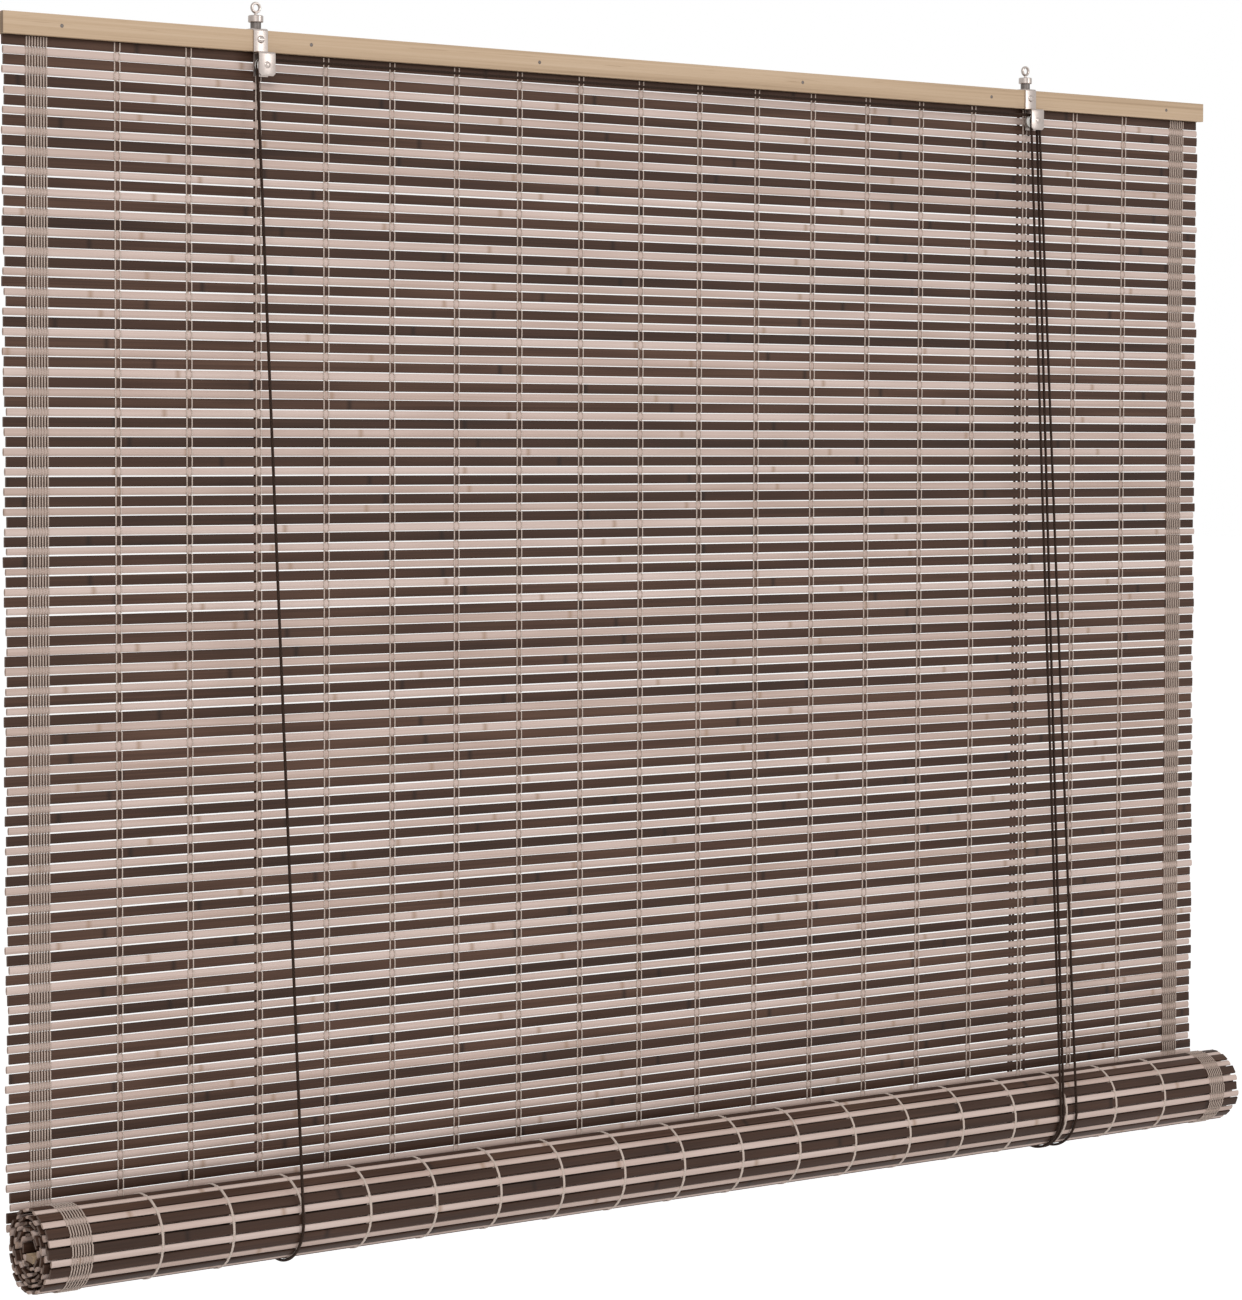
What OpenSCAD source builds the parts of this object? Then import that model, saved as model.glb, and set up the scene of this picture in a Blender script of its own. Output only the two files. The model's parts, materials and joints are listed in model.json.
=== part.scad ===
// Roll-up blind of dark slats and pale sticks, half raised, hanging by two eyes.
// Millimetres. +X along the rail to the right, -Y is the front, +Z up.
// Origin midway between the two hanging eyes.

/* [Mat] */
// width of the slat mat
mat_w = 1200; // [600:10:1800]
// height of one dark slat
slat_h = 7.2; // [5:0.1:8]
// thickness of slats and sticks
slat_t = 2; // [1.4:0.1:2.6]
// height of one pale stick
stick_h = 5.2; // [2.5:0.1:5.6]
// distance from one dark slat to the next
row_pitch = 14.3; // [13.4:0.1:18]
// dark slats that hang below the rail
rows = 61; // [30:1:80]
// thickness of the binding threads
thread_t = 0.5; // [0.4:0.1:0.8]
// width of one warp thread
thread_w = 1.6; // [1:0.1:3]
// distance from one warp thread to the next
thread_pitch = 59.8; // [30:0.2:90]
// width of each bound edge band
band_w = 16; // [10:1:24]
// middle of each bound edge band, in from the mat's end
band_in = 26; // [16:1:40]

/* [Roll] */
// outer radius of the rolled part
roll_r = 32; // [28:0.5:40]
// radius of the innermost turn
core_r = 8; // [7:0.5:12]
// air between one turn and the next
turn_gap = 1; // [1:0.1:1.6]
// share of the outer turn that lies on a true circle
round_share = 0.6; // [0.5:0.05:0.7]
// bottom lath width
bottom_w = 10; // [8:0.5:12]
// bottom lath thickness
bottom_t = 5; // [4:0.5:6]

/* [Head rail] */
// height of the two rail laths
rail_h = 16; // [14:0.5:24]
// thickness of each lath
lath_t = 4.6; // [4:0.2:8]
// how far the laths pass the mat at each end
rail_over = 3; // [0:0.5:10]
// bevel along the laths' outer edges
lath_bevel = 0.6; // [0.2:0.1:1]
// nail head radius
tack_r = 1.4; // [1:0.1:2]
// outermost nail, in from the mat's end
tack_in = 44; // [30:1:80]
// distance from one nail to the next
tack_pitch = 211; // [120:1:220]
// nails at each half of the rail
tacks = 3; // [1:1:3]

/* [Hangers and pulleys] */
// distance of each hanger from the middle
hanger_x = 390; // [200:5:520]
// height of the eye's centre above the rail
eye_rise = 17; // [16:0.5:24]
// eye hole radius
eye_hole_r = 2.4; // [1.8:0.1:2.8]
// eye ring radius
eye_r = 4.4; // [4:0.1:5]
// thickness of the eye ring
eye_t = 3; // [2:0.1:4]
// radius of the eye's collar
collar_r = 5.7; // [5:0.1:6]
// height of the eye's collar
collar_h = 5.2; // [4:0.1:6]
// radius of the foot under the collar
foot_r = 4; // [3:0.1:4.8]
// height of the foot under the collar
foot_h = 4.8; // [3:0.1:5.2]
// sheet metal thickness
sheet_t = 1.2; // [0.8:0.1:1.6]
// width of the strap over the rail
strap_w = 12.4; // [10:0.2:16]
// width of the pulley's front cheek
cheek_w = 14.4; // [13:0.2:18]
// height of the pulley cheeks below the rail
cheek_h = 18.5; // [17:0.5:22]
// cut corners of the front cheek
cheek_corner = 2; // [1:0.1:4]
// depth of the axle below the rail
axle_drop = 10.4; // [9:0.1:11]
// axle radius
axle_r = 1.5; // [1.2:0.1:1.8]
// axle head radius
axle_head_r = 2.6; // [2.2:0.1:3.2]
// sheave radius
sheave_r = 5.6; // [5.4:0.1:6]
// groove radius in the sheave
groove_r = 3.4; // [3:0.1:3.6]
// sheave width
sheave_w = 7.2; // [6.8:0.2:9]
// rib between the sheave's two grooves
groove_rib = 0.6; // [0.4:0.1:0.8]
// depth of the strap screws below the rail's top
screw_drop = 7; // [5:0.5:9]
// screw shank radius
screw_r = 1.5; // [1.2:0.1:1.7]
// screw head radius
screw_head_r = 2.9; // [2.4:0.1:3.4]
// screw head height
screw_head_h = 1.5; // [1:0.1:2]
// depth of screws and nails in the laths
screw_in = 3.2; // [2:0.1:3.4]

/* [Cords] */
// cord radius
cord_r = 1.1; // [0.9:0.1:1.2]
// wire radius of the staples that hold the cords' ends
staple_r = 0.7; // [0.5:0.1:0.8]
// inner radius of each staple's loop
staple_loop = 1.6; // [1.4:0.1:1.7]

/* [Hidden] */
run_c = 0.05;      // shafts in their holes
side_c = 0.3;      // sheave to cheeks
cord_c = 0.3;      // cord to sheave, roll and mat
join_c = 0.4;      // hung mat to roll
end_c = 0.4;       // hole depth past a screw or nail
seat_c = 0.5;      // pulley cheek below the rail
head_h = 0.9;      // axle head height
tack_h = 0.5;      // nail head height
slot_w = 0.8;      // screw slot
header_h = 3;      // thread along the mat's top, behind the rail
neck_share = 0.4;  // eye's neck radius, of its ring's thickness
cut = 1;           // overshoot of cuts

half_mat = slat_t / 2 + thread_t;
rail_top = -eye_rise;
rail_bot = rail_top - rail_h;
rail_y = half_mat + lath_t;
rail_l = mat_w + 2 * rail_over;
tack_z = rail_bot + rail_h / 2;
tack_xs = [for (s = [-1, 1], k = [0 : tacks - 1]) s * (mat_w / 2 - tack_in - k * tack_pitch)];

hung = rows * row_pitch - (row_pitch - slat_h);
roll_z = rail_bot - hung - join_c;
roll_y = half_mat - roll_r;
band_x = mat_w / 2 - band_in;

strap_y = rail_y + sheet_t;
gap_y = sheave_w + 2 * side_c;
sheave_y = -strap_y - gap_y / 2;
cheek_y = -strap_y - gap_y;
axle_z = rail_bot - axle_drop;
screw_z = rail_top - screw_drop;
groove_half = cord_r + cord_c;
groove_y = groove_half + groove_rib / 2;
rear_y = sheave_y + groove_y;
near_y = sheave_y - groove_y;
wrap_r = groove_r + cord_r + cord_c;
sling_r = roll_r + cord_c + cord_r;
knot_r = 2 * cord_r;
tie_y = half_mat + knot_r + cord_c;
tie_z = rail_bot - staple_loop - 2 * staple_r - knot_r - run_c;
front_a = atan((rear_y - roll_y + sling_r) / (axle_z - roll_z));
sling_cut = 0.35;  // degrees left open at each end of a sling

function row_z(k) = rail_bot - slat_h / 2 - k * row_pitch;

// where each cord meets the roll, along X
left_x = -hanger_x;
lift_x = hanger_x - 9.8;
far_x = hanger_x - 6.6;
near_x = hanger_x + 8.6;
// and where each is knotted to its staple under the rear lath
left_top = -hanger_x + 1.3;
lift_top = hanger_x - 4.4;
far_top = hanger_x + 1.8;
near_top = hanger_x + 8;

// The rolled mat. Piece i is a stick when even and a slat when odd.
turn_pitch = slat_t + 2 * thread_t + turn_gap;
function turn_drop(t) = t < round_share ? 0 : t < 1 ? (t - round_share) / (1 - round_share) : t;
function layer_r(a) = roll_r - 2 * thread_t - slat_t - turn_pitch * turn_drop(a / 360);
wind_c = 0.95;  // least gap between neighbours on the roll
wind_step = max(row_pitch / 2, (slat_h + stick_h) / 2 + wind_c);
function next_a(a) = a + wind_step / (layer_r(a) + slat_t / 2) * 180 / PI;
function piece_angles(a) = layer_r(a) < core_r ? [] : concat([a], piece_angles(next_a(a)));
roll_a = piece_angles((row_pitch - slat_h) / 2 / roll_r * 180 / PI);
last_i = 2 * floor(len(roll_a) / 2) - 1;
bottom_s = slat_h / 2 - cord_c;
function piece_h(i) = i % 2 == 0 ? stick_h : slat_h;
function on_piece(i, s, d) =
    let (a = -roll_a[i], r = layer_r(roll_a[i]) + d)
    [r * cos(a) - s * sin(a), r * sin(a) + s * cos(a)];
// points along the mat at height d above its inner face, past the sticks' edges by m
function face_pts(d, m) = [for (i = [0 : last_i], e = [1, -1])
    on_piece(i, e * (piece_h(i) / 2 + (i % 2 == 0 ? m : 0)), d)];
low_corners = [[-1, 0], [1, 0]];
all_corners = [[-1, 0], [-1, 1], [1, 1], [1, 0]];
function ridge_pts() = [for (i = [last_i : -1 : 0], q = i % 2 == 0 ? low_corners : all_corners)
    on_piece(i, q[0] * piece_h(i) / 2, thread_t + q[1] * slat_t)];
function back_to_front(v) = [for (i = [len(v) - 1 : -1 : 0]) v[i]];

module box(x, y, z) {
    translate([x[0], y[0], z[0]]) cube([x[1] - x[0], y[1] - y[0], z[1] - z[0]]);
}

module rod_y(x, z, y0, y1, r) {
    translate([x, y1, z]) rotate([90, 0, 0]) cylinder(h = y1 - y0, r = r);
}

module rod(a, b, r) {
    d = b - a;
    l = norm(d);
    translate(a) rotate([0, acos(d[2] / l), atan2(d[1], d[0])]) cylinder(h = l, r = r);
}

module along_x(x0, l) {
    translate([x0, 0, 0]) rotate([90, 0, 90]) linear_extrude(height = l) children();
}

// Head rail

module lath() {
    b = lath_bevel;
    along_x(-rail_l / 2, rail_l)
        polygon([[half_mat, rail_bot], [rail_y - b, rail_bot], [rail_y, rail_bot + b],
            [rail_y, rail_top - b], [rail_y - b, rail_top], [half_mat, rail_top]]);
}

module screw_holes() {
    for (s = [-1, 1])
        rod_y(s * hanger_x, screw_z, rail_y - screw_in - end_c, rail_y + cut, screw_r + run_c);
}

module front_lath() {
    color([0.79, 0.69, 0.57]) mirror([0, 1, 0]) difference() {
        lath();
        screw_holes();
        for (x = tack_xs) rod_y(x, tack_z, rail_y - screw_in - end_c, rail_y + cut, tack_r / 2 + run_c);
    }
}

module rear_lath() {
    color([0.79, 0.69, 0.57]) difference() {
        lath();
        screw_holes();
    }
}

module rail_tacks() {
    color([0.35, 0.31, 0.28]) for (x = tack_xs) {
        rod_y(x, tack_z, -rail_y - tack_h, -rail_y, tack_r);
        rod_y(x, tack_z, -rail_y - tack_h / 2, -rail_y + screw_in, tack_r / 2);
    }
}

// Hung mat

module dark_slats() {
    color([0.26, 0.19, 0.15]) {
        for (k = [-1 : rows - 1])
            box([-mat_w / 2, mat_w / 2], [-slat_t / 2, slat_t / 2],
                [row_z(k) - slat_h / 2, row_z(k) + slat_h / 2]);
        for (s = [-1, 1])
            box([s * band_x - band_w / 2, s * band_x + band_w / 2], [-half_mat, -slat_t / 2],
                [row_z(rows - 1) - slat_h / 2, row_z(-1) + slat_h / 2]);
    }
}

module light_sticks() {
    color([0.84, 0.76, 0.70]) {
        for (k = [-1 : rows - 2])
            box([-mat_w / 2, mat_w / 2], [-slat_t / 2, slat_t / 2],
                [row_z(k + 0.5) - stick_h / 2, row_z(k + 0.5) + stick_h / 2]);
        for (s = [-1, 1])
            box([s * band_x - band_w / 2, s * band_x + band_w / 2], [slat_t / 2, half_mat],
                [row_z(rows - 1) - slat_h / 2, row_z(-1) + slat_h / 2]);
    }
}

module warp_threads() {
    n = 2 * floor((band_x - band_w / 2 - thread_pitch / 2 - 2 * thread_w) / thread_pitch) + 2;
    x0 = -(n - 1) * thread_pitch / 2;
    color([0.62, 0.53, 0.46]) {
        for (i = [0 : n - 1])
            box([x0 + i * thread_pitch - thread_w / 2, x0 + i * thread_pitch + thread_w / 2],
                [-half_mat, -slat_t / 2], [row_z(rows - 1) - slat_h / 2, row_z(-1) + header_h]);
        box([x0 - thread_w / 2, -x0 + thread_w / 2], [-half_mat, -slat_t / 2],
            [row_z(-1), row_z(-1) + header_h]);
    }
}

// Roll

module roll_place() {
    translate([0, roll_y, roll_z]) children();
}

module roll_slats() {
    color([0.26, 0.19, 0.15]) roll_place() along_x(-mat_w / 2, mat_w)
        polygon(concat(face_pts(0, 0), ridge_pts()));
}

module roll_sticks() {
    top = thread_t + slat_t;
    color([0.84, 0.76, 0.70]) roll_place() {
        along_x(-mat_w / 2, mat_w)
            for (i = [0 : 2 : last_i])
                polygon([for (q = all_corners)
                    on_piece(i, q[0] * stick_h / 2, thread_t + q[1] * (slat_t + thread_t / 2))]);
        for (s = [-1, 1])
            along_x(s * band_x - band_w / 2, band_w)
                polygon(concat(face_pts(top, cord_c), back_to_front(face_pts(top + thread_t, cord_c))));
    }
}

module bottom_lath() {
    color([0.79, 0.69, 0.57]) roll_place() along_x(-mat_w / 2, mat_w)
        polygon([on_piece(last_i, bottom_s, 0), on_piece(last_i, bottom_s - bottom_w, 0),
            on_piece(last_i, bottom_s - bottom_w, -bottom_t), on_piece(last_i, bottom_s, -bottom_t)]);
}

// Hangers and pulleys

module strap(s) {
    x = [s * hanger_x - strap_w / 2, s * hanger_x + strap_w / 2];
    color([0.80, 0.78, 0.76]) difference() {
        union() {
            box(x, [-strap_y, -rail_y], [rail_bot - cheek_h, rail_top + sheet_t]);
            box(x, [-strap_y, strap_y], [rail_top, rail_top + sheet_t]);
            box(x, [rail_y, strap_y], [rail_bot, rail_top + sheet_t]);
        }
        rod_y(s * hanger_x, axle_z, -strap_y - cut, -rail_y + cut, axle_r + run_c);
        rod_y(s * hanger_x, screw_z, -strap_y - cut, strap_y + cut, screw_r + run_c);
        translate([s * hanger_x, 0, rail_top - cut]) cylinder(h = sheet_t + 2 * cut, r = axle_r + run_c);
    }
}
module left_strap() { strap(-1); }
module right_strap() { strap(1); }

module cheek(s) {
    c = cheek_corner;
    w = cheek_w / 2;
    top = rail_bot - seat_c;
    low = rail_bot - cheek_h;
    color([0.80, 0.78, 0.76]) translate([s * hanger_x, 0, 0]) difference() {
        union() {
            translate([0, cheek_y, 0]) rotate([90, 0, 0]) linear_extrude(height = sheet_t)
                polygon([[-w, top], [-w, low + c], [-w + c, low], [w - c, low], [w, low + c], [w, top]]);
            box([-w, w], [cheek_y - sheet_t, -strap_y], [top - sheet_t, top]);
        }
        rod_y(0, axle_z, cheek_y - sheet_t - cut, cheek_y + cut, axle_r + run_c);
    }
}
module left_cheek() { cheek(-1); }
module right_cheek() { cheek(1); }

module sheave(s) {
    h = sheave_w / 2;
    g0 = groove_y - groove_half;
    g1 = groove_y + groove_half;
    b = axle_r + run_c;
    color([0.93, 0.92, 0.90]) translate([s * hanger_x, sheave_y, axle_z]) rotate([90, 0, 0])
        rotate_extrude()
            polygon([[b, -h], [sheave_r, -h], [sheave_r, -g1], [groove_r, -g1], [groove_r, -g0],
                [sheave_r, -g0], [sheave_r, g0], [groove_r, g0], [groove_r, g1], [sheave_r, g1],
                [sheave_r, h], [b, h]]);
}
module left_sheave() { sheave(-1); }
module right_sheave() { sheave(1); }

module axle(s) {
    x = s * hanger_x;
    front = cheek_y - sheet_t;
    color([0.68, 0.66, 0.64]) {
        rod_y(x, axle_z, front - head_h / 2, -rail_y + head_h / 2, axle_r);
        rod_y(x, axle_z, front - head_h, front, axle_head_r);
        rod_y(x, axle_z, -rail_y, -rail_y + head_h, axle_head_r);
    }
}
module left_axle() { axle(-1); }
module right_axle() { axle(1); }

module eye(s) {
    base = rail_top + sheet_t;
    neck = base + foot_h + collar_h / 2;
    color([0.76, 0.73, 0.71]) translate([s * hanger_x, 0, 0]) difference() {
        union() {
            translate([0, 0, rail_top]) cylinder(h = sheet_t + foot_h / 2, r = axle_r);
            translate([0, 0, base]) cylinder(h = foot_h, r = foot_r);
            translate([0, 0, base + foot_h]) cylinder(h = collar_h, r = collar_r);
            translate([0, 0, neck]) cylinder(h = -neck - (eye_r + eye_hole_r) / 2, r = eye_t * neck_share);
            rod_y(0, 0, -eye_t / 2, eye_t / 2, eye_r);
        }
        rod_y(0, 0, -eye_t, eye_t, eye_hole_r);
    }
}
module left_eye() { eye(-1); }
module right_eye() { eye(1); }

module strap_screw() {
    h = screw_head_h;
    r = screw_head_r;
    difference() {
        union() {
            rod_y(0, 0, -h, 0, r);
            rod_y(0, 0, -h / 3, sheet_t + screw_in, screw_r);
        }
        box([-r - cut, r + cut], [-h - cut, -h / 2], [-slot_w / 2, slot_w / 2]);
    }
}
module strap_screws() {
    color([0.62, 0.60, 0.58]) for (s = [-1, 1]) {
        translate([s * hanger_x, -strap_y, screw_z]) strap_screw();
        translate([s * hanger_x, strap_y, screw_z]) mirror([0, 1, 0]) strap_screw();
    }
}

module cord_staples() {
    color([0.62, 0.60, 0.58]) for (x = [left_top, lift_top, far_top, near_top])
        translate([x, tie_y, rail_bot]) rotate([90, 0, 0]) rotate([0, 0, 180])
            rotate_extrude(angle = 180) translate([staple_loop + staple_r, 0]) circle(r = staple_r);
}

// Cords

module front_run(x0, y0, x1) {
    color([0.24, 0.17, 0.13])
        rod([x0, y0, axle_z], [x1, roll_y - sling_r * cos(front_a), roll_z + sling_r * sin(front_a)], cord_r);
}

module sling(x) {
    color([0.24, 0.17, 0.13]) translate([x, roll_y, roll_z]) rotate([90, 0, 90])
        rotate([0, 0, 180 - front_a + sling_cut])
            rotate_extrude(angle = 180 + front_a - 2 * sling_cut) translate([sling_r, 0]) circle(r = cord_r);
}

module back_run(x0, x1) {
    top = [x1, tie_y, tie_z];
    color([0.24, 0.17, 0.13]) {
        rod([x0, roll_y + sling_r, roll_z], top, cord_r);
        translate(top) sphere(r = knot_r);
    }
}

module over_sheave(x, y, a0, a1) {
    translate([x, y, axle_z]) rotate([90, 0, 0]) rotate([0, 0, a0])
        rotate_extrude(angle = a1 - a0) translate([wrap_r, 0]) circle(r = cord_r);
}

module left_front_cord() { front_run(-hanger_x - wrap_r, rear_y, left_x); }
module left_sling() { sling(left_x); }
module left_back_cord() { back_run(left_x, left_top); }

module cross_cord() {
    color([0.24, 0.17, 0.13]) {
        over_sheave(-hanger_x, rear_y, 90, 180);
        rod([-hanger_x, rear_y, axle_z + wrap_r], [hanger_x, rear_y, axle_z + wrap_r], cord_r);
        over_sheave(hanger_x, rear_y, 0, 90);
    }
}
module right_turn_cord() { color([0.24, 0.17, 0.13]) over_sheave(hanger_x, near_y, 0, 180); }

module right_front_cord() { front_run(hanger_x - wrap_r, near_y, lift_x); }
module right_sling() { sling(lift_x); }
module right_back_cord() { back_run(lift_x, lift_top); }

module far_pull_cord() { front_run(hanger_x + wrap_r, rear_y, far_x); }
module far_sling() { sling(far_x); }
module far_back_cord() { back_run(far_x, far_top); }

module near_pull_cord() { front_run(hanger_x + wrap_r, near_y, near_x); }
module near_sling() { sling(near_x); }
module near_back_cord() { back_run(near_x, near_top); }

front_lath();
rear_lath();
rail_tacks();
dark_slats();
light_sticks();
warp_threads();
roll_slats();
roll_sticks();
bottom_lath();
left_strap();
right_strap();
left_cheek();
right_cheek();
left_sheave();
right_sheave();
left_axle();
right_axle();
left_eye();
right_eye();
strap_screws();
cord_staples();
left_front_cord();
left_sling();
left_back_cord();
cross_cord();
right_turn_cord();
right_front_cord();
right_sling();
right_back_cord();
far_pull_cord();
far_sling();
far_back_cord();
near_pull_cord();
near_sling();
near_back_cord();
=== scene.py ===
import json
import math
import random
import bpy
import bmesh
from mathutils import Matrix, Vector


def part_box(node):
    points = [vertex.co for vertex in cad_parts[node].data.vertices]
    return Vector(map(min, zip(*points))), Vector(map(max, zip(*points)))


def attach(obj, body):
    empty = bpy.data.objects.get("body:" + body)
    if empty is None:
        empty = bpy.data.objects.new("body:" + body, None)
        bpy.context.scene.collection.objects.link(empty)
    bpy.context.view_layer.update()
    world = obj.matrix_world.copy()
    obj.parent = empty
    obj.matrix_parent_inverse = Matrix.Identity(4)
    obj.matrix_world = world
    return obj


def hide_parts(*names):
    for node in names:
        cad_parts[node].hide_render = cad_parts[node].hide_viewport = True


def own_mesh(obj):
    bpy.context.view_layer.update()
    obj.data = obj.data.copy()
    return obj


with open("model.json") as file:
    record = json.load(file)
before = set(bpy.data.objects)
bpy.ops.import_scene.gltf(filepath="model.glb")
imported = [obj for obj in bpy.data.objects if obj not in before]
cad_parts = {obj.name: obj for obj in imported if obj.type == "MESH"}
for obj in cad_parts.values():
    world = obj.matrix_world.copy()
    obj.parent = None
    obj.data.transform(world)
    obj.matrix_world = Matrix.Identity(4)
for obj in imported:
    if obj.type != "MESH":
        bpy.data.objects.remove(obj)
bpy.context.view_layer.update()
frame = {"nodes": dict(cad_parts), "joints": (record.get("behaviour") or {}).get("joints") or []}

mm = 0.001
fullTurn = 2 * math.pi


# Sizes that the pieces share, read from the frame where it gives them.
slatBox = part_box("dark_slats")
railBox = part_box("front_lath")
joints = {joint["name"]: joint for joint in frame["joints"]}
leftAxle = joints["left_sheave_spin"]["pos_m"]

blind = {
    "matWidth": slatBox[1][0] - slatBox[0][0],
    "rowPitch": 14.3 * mm,
    "rows": 61,
    "slatHigh": 7.2 * mm,
    "slatThick": 2.0 * mm,
    "stickHigh": 5.2 * mm,
    "threadThick": 0.5 * mm,
    "railTop": railBox[1][2],
    "railBottom": railBox[0][2],
    "railFront": railBox[0][1],
    "rollRadius": 32 * mm,
    "coreRadius": 8 * mm,
    "turnGap": 1.0 * mm,
    "roundShare": 0.6,
    "rollCentre": Vector(joints["roll_turn"]["pos_m"]),
    "hangerX": -leftAxle[0],
    "axleY": leftAxle[1],
    "axleZ": leftAxle[2],
    "liftRange": joints["roll_lift"]["range_m"][1],
}
sides = {"left": -1, "right": 1}


# Node graphs: a wire is one output socket, and arithmetic on wires adds nodes.
class Wire:
    def __init__(self, graph, socket):
        self.graph = graph
        self.socket = socket

    def sum(self, operation, *values):
        return self.graph.add("ShaderNodeMath", {"operation": operation}, dict(enumerate(values)))

    def __add__(self, other):
        return self.sum("ADD", self, other)

    def __radd__(self, other):
        return self.sum("ADD", other, self)

    def __sub__(self, other):
        return self.sum("SUBTRACT", self, other)

    def __rsub__(self, other):
        return self.sum("SUBTRACT", other, self)

    def __mul__(self, other):
        return self.sum("MULTIPLY", self, other)

    def __rmul__(self, other):
        return self.sum("MULTIPLY", other, self)

    def __truediv__(self, other):
        return self.sum("DIVIDE", self, other)

    def __rtruediv__(self, other):
        return self.sum("DIVIDE", other, self)

    def of(self, operation, *values):
        return self.sum(operation, self, *values)


class Graph:
    def __init__(self, tree):
        self.tree = tree

    def add(self, kind, settings=None, sockets=None, out=0):
        node = self.tree.nodes.new(kind)
        for key, value in (settings or {}).items():
            if key == "stops":
                self.rampStops(node.color_ramp, value)
            else:
                setattr(node, key, value)
        for key, value in (sockets or {}).items():
            target = node.inputs[key]
            if isinstance(value, Wire):
                self.tree.links.new(value.socket, target)
            else:
                target.default_value = value
        return Wire(self, node.outputs[out]) if node.outputs else None

    def rampStops(self, ramp, stops):
        while len(ramp.elements) < len(stops):
            ramp.elements.new(0.5)
        for element, (place, colour) in zip(ramp.elements, stops):
            element.position = place
            element.color = (*colour, 1)

    def other(self, wire, out):
        return Wire(self, wire.socket.node.outputs[out])


# Camera, from the slat rows, edges and threads of the photograph
view = {
    "frame": (1242, 1300),
    "focalPixels": 3875.5,
    "middlePixels": (668.5, 603.4),
    "yaw": 37.893,
    "pitch": 2.421,
    "lean": 0.158,
    "distance": 3.1363,
    "target": Vector((0, 0, -0.452)),
}


def makeCamera():
    data = bpy.data.cameras.new("viewCamera")
    camera = bpy.data.objects.new("viewCamera", data)
    bpy.context.scene.collection.objects.link(camera)
    wide, high = view["frame"]
    data.sensor_fit = "HORIZONTAL"
    data.sensor_width = 36
    data.lens = view["focalPixels"] / wide * data.sensor_width
    data.shift_x = (wide / 2 - view["middlePixels"][0]) / wide
    data.shift_y = (view["middlePixels"][1] - high / 2) / wide
    data.clip_start = 0.05
    data.clip_end = 90
    yaw, pitch, lean = (math.radians(view[key]) for key in ("yaw", "pitch", "lean"))
    look = Vector((math.sin(yaw) * math.cos(pitch), math.cos(yaw) * math.cos(pitch), -math.sin(pitch)))
    across = Vector((math.cos(yaw), -math.sin(yaw), 0))
    rise = across.cross(look)
    right = across * math.cos(lean) + rise * math.sin(lean)
    camera.location = view["target"] - look * view["distance"]
    camera.rotation_euler = Matrix((right, look.cross(right) * -1, -look)).transposed().to_euler()
    bpy.context.scene.camera = camera


makeCamera()
print("camera set")


# Materials
shaderSockets = {"colour": "Base Color", "rough": "Roughness", "metal": "Metallic", "normal": "Normal",
                 "sheen": "Sheen Weight", "specular": "Specular IOR Level",
                 "glow": "Emission Color", "glowStrength": "Emission Strength"}


def newMaterial(name):
    material = bpy.data.materials.new(name)
    material.use_nodes = True
    material.node_tree.nodes.clear()
    return material, Graph(material.node_tree)


def surface(graph, **values):
    sockets = {shaderSockets[key]: value for key, value in values.items()}
    return graph.add("ShaderNodeBsdfPrincipled", None, sockets)


def finish(graph, shader):
    graph.add("ShaderNodeOutputMaterial", None, {0: shader})


def stretched(graph, scale, detail, rough, shift=(0, 0, 0)):
    place = graph.add("ShaderNodeTexCoord", out="Object")
    moved = graph.add("ShaderNodeMapping", None, {"Vector": place, "Scale": scale, "Location": shift})
    return graph.add("ShaderNodeTexNoise", None,
                     {"Vector": moved, "Scale": 1.0, "Detail": detail, "Roughness": rough})


def blendColour(graph, share, first, second):
    return graph.add("ShaderNodeMix", {"data_type": "RGBA"}, {0: share, 6: first, 7: second}, out=2)


def bump(graph, height, strength, distance):
    return graph.add("ShaderNodeBump", None, {"Height": height, "Strength": strength, "Distance": distance})


def attribute(graph, name):
    return graph.add("ShaderNodeAttribute", {"attribute_name": name}, out="Fac")


def cutEnds(graph):
    # 1 on the faces that a saw left across the grain, which runs along X
    face = graph.add("ShaderNodeTexCoord", out="Normal")
    across = graph.add("ShaderNodeSeparateXYZ", None, {0: face}, out=0).of("ABSOLUTE")
    return ((across - 0.7) * 5).of("MAXIMUM", 0.0).of("MINIMUM", 1.0)


bambooLooks = {
    "darkBamboo": {
        "tones": [(0.0, (0.024, 0.011, 0.0064)), (0.5, (0.052, 0.025, 0.0155)),
                  (1.0, (0.100, 0.0525, 0.0345))],
        "joint": (0.012, 0.006, 0.004), "cutEnd": (0.100, 0.062, 0.045),
        "rough": 0.58, "shine": 0.2, "grainBump": 0.3,
    },
    "lightBamboo": {
        "tones": [(0.0, (0.41, 0.295, 0.245)), (0.5, (0.53, 0.408, 0.358)), (1.0, (0.63, 0.510, 0.460))],
        "joint": (0.33, 0.215, 0.150), "cutEnd": (0.27, 0.180, 0.135),
        "rough": 0.6, "shine": 0.25, "grainBump": 0.2,
    },
}
cane = {
    "fibre": (3, 900, 900), "patch": (7, 70, 70),
    "jointEvery": 0.31, "jointShift": 7.3, "jointSharp": 90, "jointShare": 0.75,
}


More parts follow.
